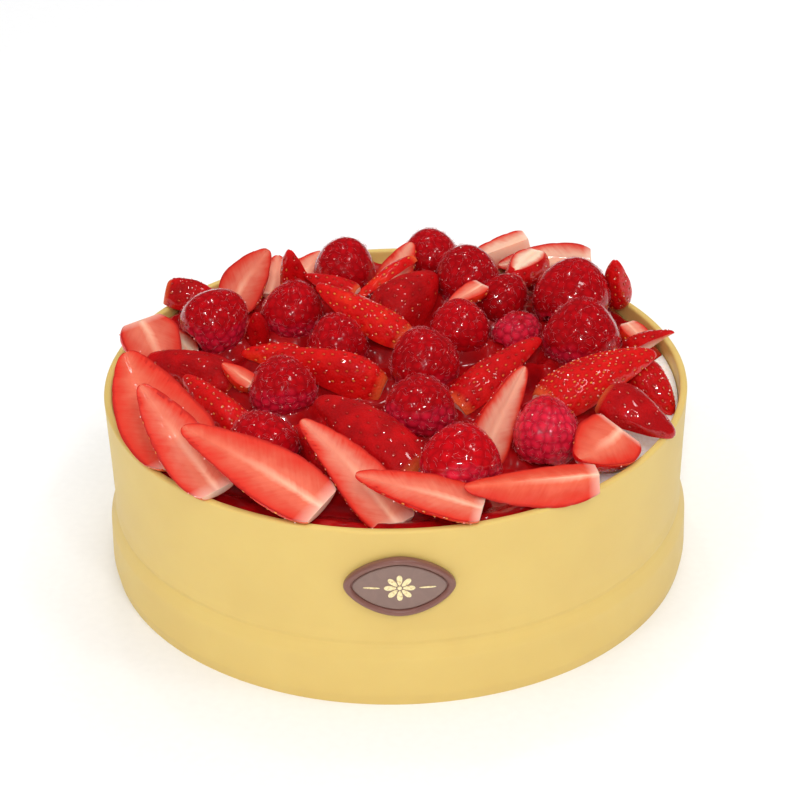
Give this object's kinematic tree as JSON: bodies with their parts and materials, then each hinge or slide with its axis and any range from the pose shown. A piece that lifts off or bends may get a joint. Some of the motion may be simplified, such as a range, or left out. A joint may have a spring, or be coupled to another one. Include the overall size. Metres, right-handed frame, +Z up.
{
  "type": "fruit tart",
  "caption": "Round fruit tart: a smooth marzipan band round a cream filling, heaped with raspberries and cut strawberries, with an oval chocolate plaque on its front.",
  "frame": {"origin": "centre of the flat underside, on the surface that the tart stands on", "axes": "+Z up; -Y towards the front, where the plaque is; +X to the right as seen from the front"},
  "size_m": [0.2024, 0.2038, 0.0886],
  "materials": {
    "marzipan": "smooth rolled yellow marzipan, satin",
    "cream": "whipped cream, soft and matt",
    "chocolate": "moulded dark chocolate, satin",
    "raspberry": "dark red raspberry under a thin clear glaze",
    "strawberry": "red strawberry skin and paler cut flesh under a clear glaze"
  },
  "bodies": {
    "root": {"marzipan_band": "marzipan", "cream_filling": "cream", "chocolate_plaque": "chocolate", "raspberry_01": "raspberry", "raspberry_02": "raspberry", "raspberry_03": "raspberry", "raspberry_04": "raspberry", "raspberry_05": "raspberry", "raspberry_06": "raspberry", "raspberry_07": "raspberry", "raspberry_08": "raspberry", "raspberry_09": "raspberry", "raspberry_10": "raspberry", "raspberry_11": "raspberry", "raspberry_12": "raspberry", "raspberry_13": "raspberry", "raspberry_14": "raspberry", "raspberry_15": "raspberry", "raspberry_16": "raspberry", "raspberry_17": "raspberry", "strawberry_01": "strawberry", "strawberry_02": "strawberry", "strawberry_03": "strawberry", "strawberry_04": "strawberry", "strawberry_05": "strawberry", "strawberry_06": "strawberry", "strawberry_07": "strawberry", "strawberry_08": "strawberry", "strawberry_09": "strawberry", "strawberry_10": "strawberry", "strawberry_11": "strawberry", "strawberry_12": "strawberry", "strawberry_13": "strawberry", "strawberry_14": "strawberry", "strawberry_15": "strawberry", "strawberry_16": "strawberry", "strawberry_17": "strawberry", "strawberry_18": "strawberry", "strawberry_19": "strawberry", "strawberry_20": "strawberry", "strawberry_21": "strawberry", "strawberry_22": "strawberry", "strawberry_23": "strawberry", "strawberry_24": "strawberry", "strawberry_25": "strawberry", "strawberry_26": "strawberry", "strawberry_27": "strawberry", "strawberry_28": "strawberry", "strawberry_29": "strawberry", "strawberry_30": "strawberry", "strawberry_31": "strawberry", "strawberry_32": "strawberry", "strawberry_33": "strawberry", "strawberry_34": "strawberry", "strawberry_35": "strawberry", "strawberry_36": "strawberry", "strawberry_37": "strawberry", "strawberry_38": "strawberry", "strawberry_39": "strawberry", "strawberry_40": "strawberry"}
  },
  "joints": []
}
